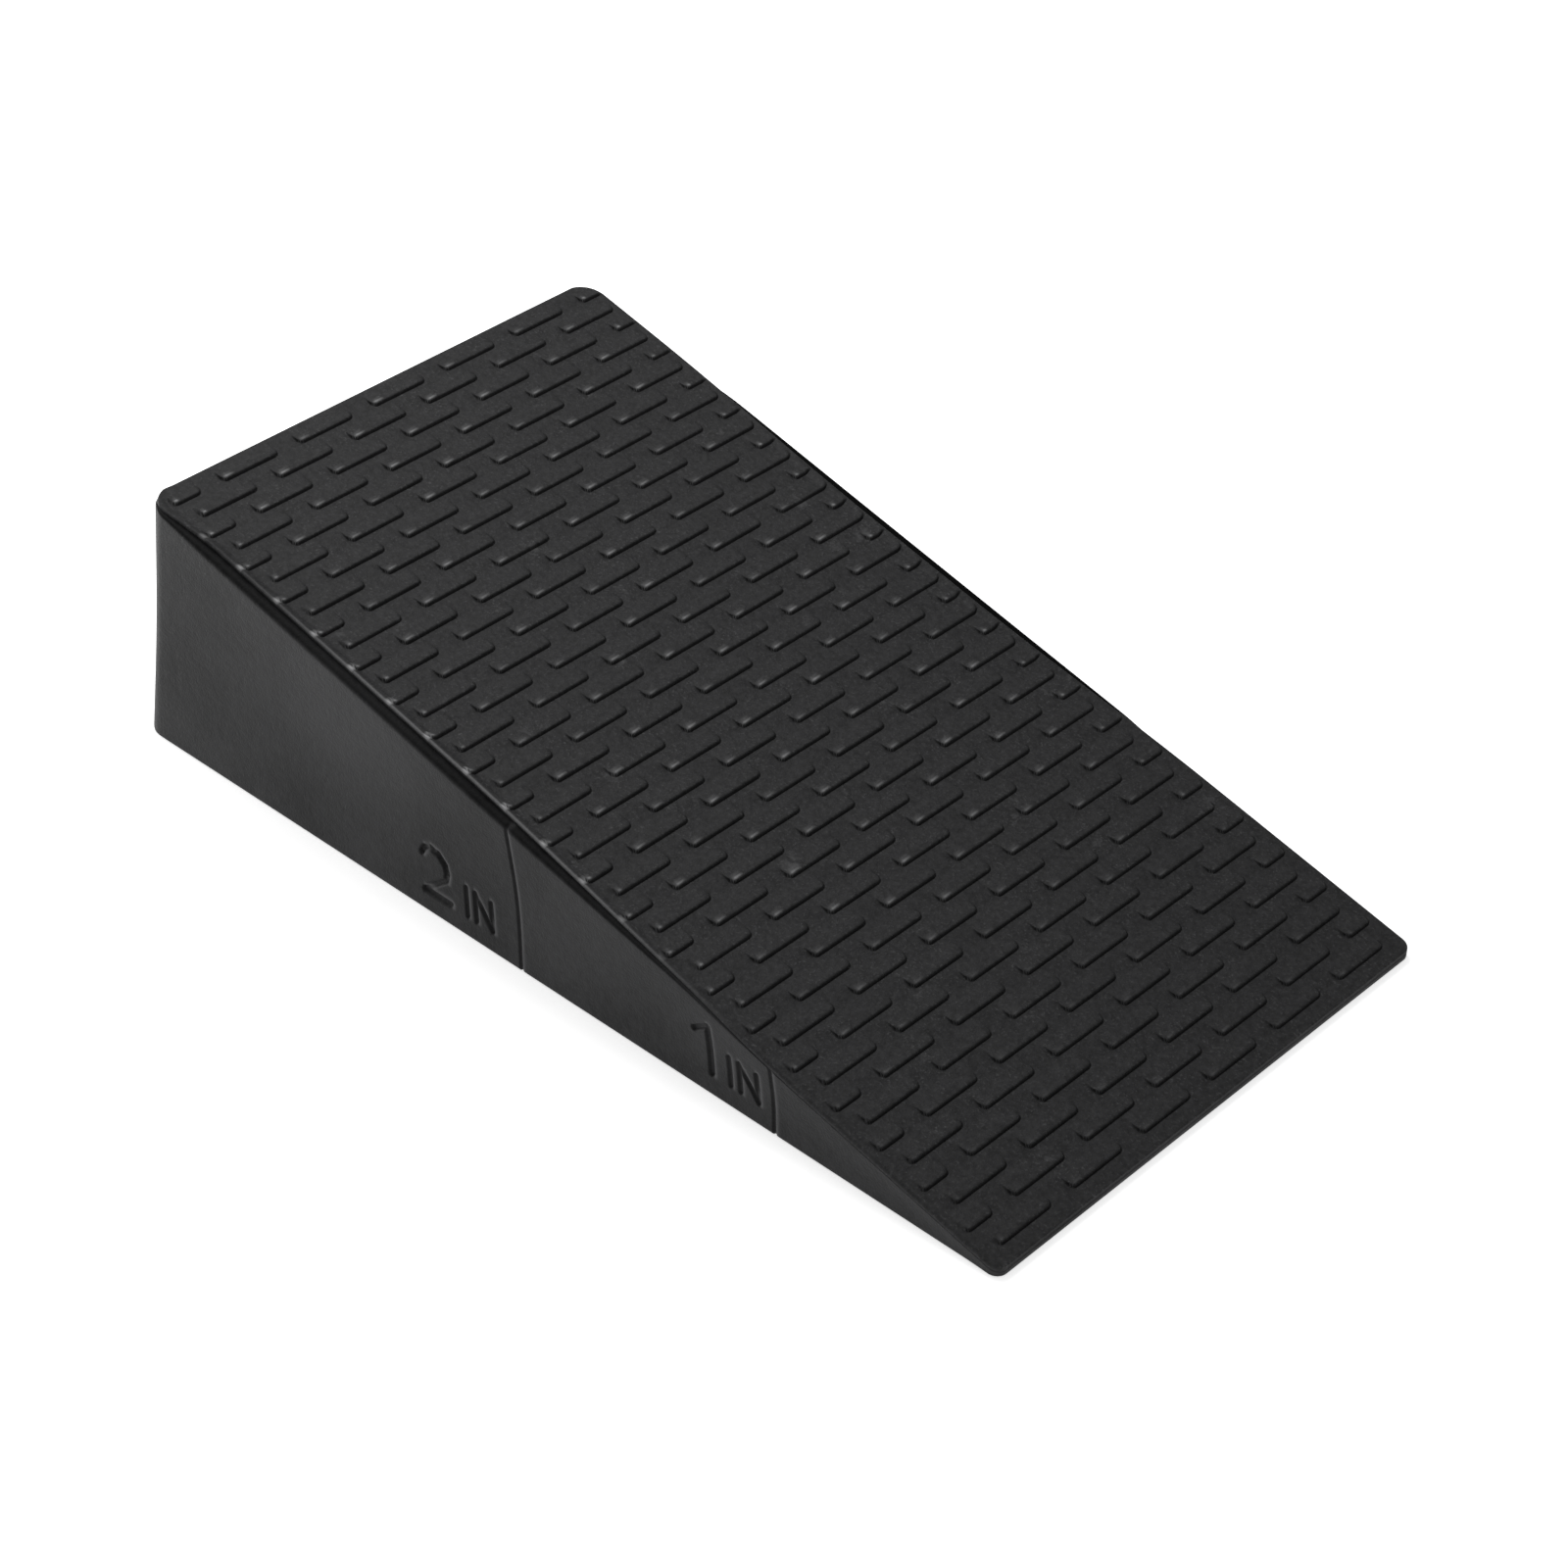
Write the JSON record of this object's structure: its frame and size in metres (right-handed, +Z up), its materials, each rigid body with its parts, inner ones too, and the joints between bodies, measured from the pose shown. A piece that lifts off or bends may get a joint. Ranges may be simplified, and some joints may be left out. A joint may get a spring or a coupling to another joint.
{
  "type": "ramp leveler",
  "caption": "Low solid wedge that a caravan wheel rolls up to raise one side, with a studded sloping tread, rounded corners and inch height marks on one long side.",
  "frame": {"origin": "middle of the base on the ground plane", "axes": "+X down the slope from the thick end to the toe, +Z up from the ground, and the side with the height marks faces -Y"},
  "size_m": [0.374, 0.2, 0.0942],
  "materials": {
    "foam": "matt closed-cell foam skin, faintly mottled",
    "tread": "matt moulded skin with raised studs and fine speckle"
  },
  "bodies": {
    "root": {"core_block": "foam", "tread_sheet": "tread"}
  },
  "joints": []
}
